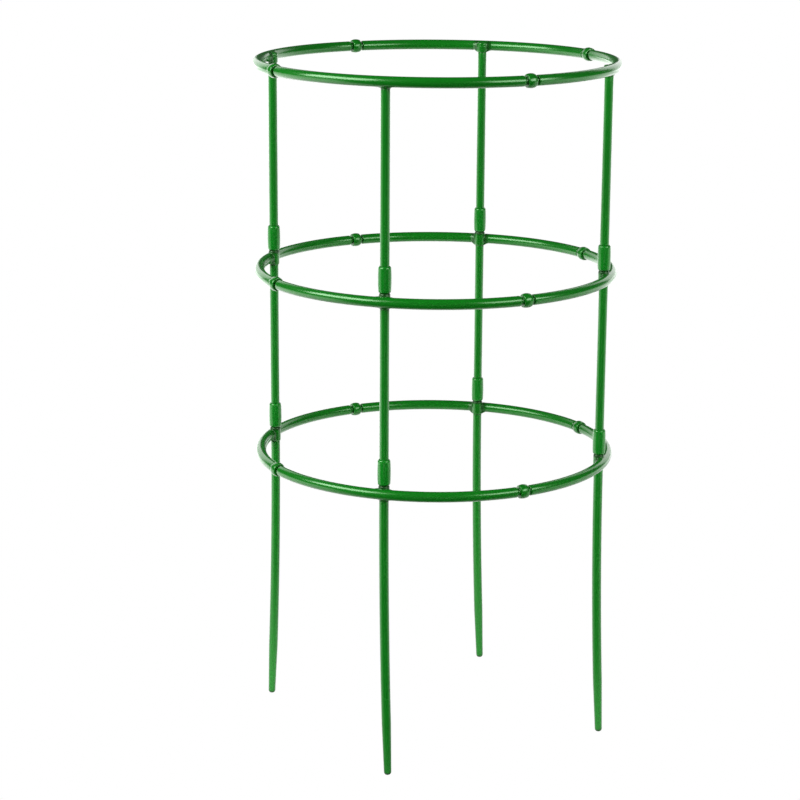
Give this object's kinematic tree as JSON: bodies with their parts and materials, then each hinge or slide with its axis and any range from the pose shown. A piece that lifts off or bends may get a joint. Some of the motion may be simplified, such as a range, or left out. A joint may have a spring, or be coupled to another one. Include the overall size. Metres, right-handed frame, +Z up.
{
  "type": "tomato cage",
  "caption": "Round plug-together plant cage of glossy green plastic: level rings carried on slim posts with sleeves, standing on long tapered ground stakes.",
  "frame": {"origin": "on the plane of the stake points, at the middle of the cage", "axes": "+Z up along the middle of the rings; -Y is the front post, +X the right post"},
  "size_m": [0.3106, 0.3086, 0.5849],
  "materials": {
    "ring_green": "glossy moulded polypropylene",
    "post_green": "glossy moulded polypropylene",
    "coupler_green": "glossy moulded polypropylene"
  },
  "bodies": {
    "lower_tier": {"lower_arc_front": "ring_green", "lower_arc_right": "ring_green", "lower_arc_back": "ring_green", "lower_arc_left": "ring_green", "stake_front": "post_green", "stake_right": "post_green", "stake_back": "post_green", "stake_left": "post_green", "lower_coupler_front": "coupler_green", "lower_coupler_right": "coupler_green", "lower_coupler_back": "coupler_green", "lower_coupler_left": "coupler_green"},
    "middle_tier": {"middle_arc_front": "ring_green", "middle_arc_right": "ring_green", "middle_arc_back": "ring_green", "middle_arc_left": "ring_green", "middle_rod_front": "post_green", "middle_rod_right": "post_green", "middle_rod_back": "post_green", "middle_rod_left": "post_green", "middle_coupler_front": "coupler_green", "middle_coupler_right": "coupler_green", "middle_coupler_back": "coupler_green", "middle_coupler_left": "coupler_green"},
    "top_tier": {"top_arc_front": "ring_green", "top_arc_right": "ring_green", "top_arc_back": "ring_green", "top_arc_left": "ring_green", "upper_rod_front": "post_green", "upper_rod_right": "post_green", "upper_rod_back": "post_green", "upper_rod_left": "post_green"}
  },
  "joints": [
    {"name": "middle_tier_lift", "type": "slide", "parent": "lower_tier", "child": "middle_tier", "axis": [0, 0, 1], "range_m": [0, 0.05]},
    {"name": "top_tier_lift", "type": "slide", "parent": "middle_tier", "child": "top_tier", "axis": [0, 0, 1], "range_m": [0, 0.05]}
  ]
}
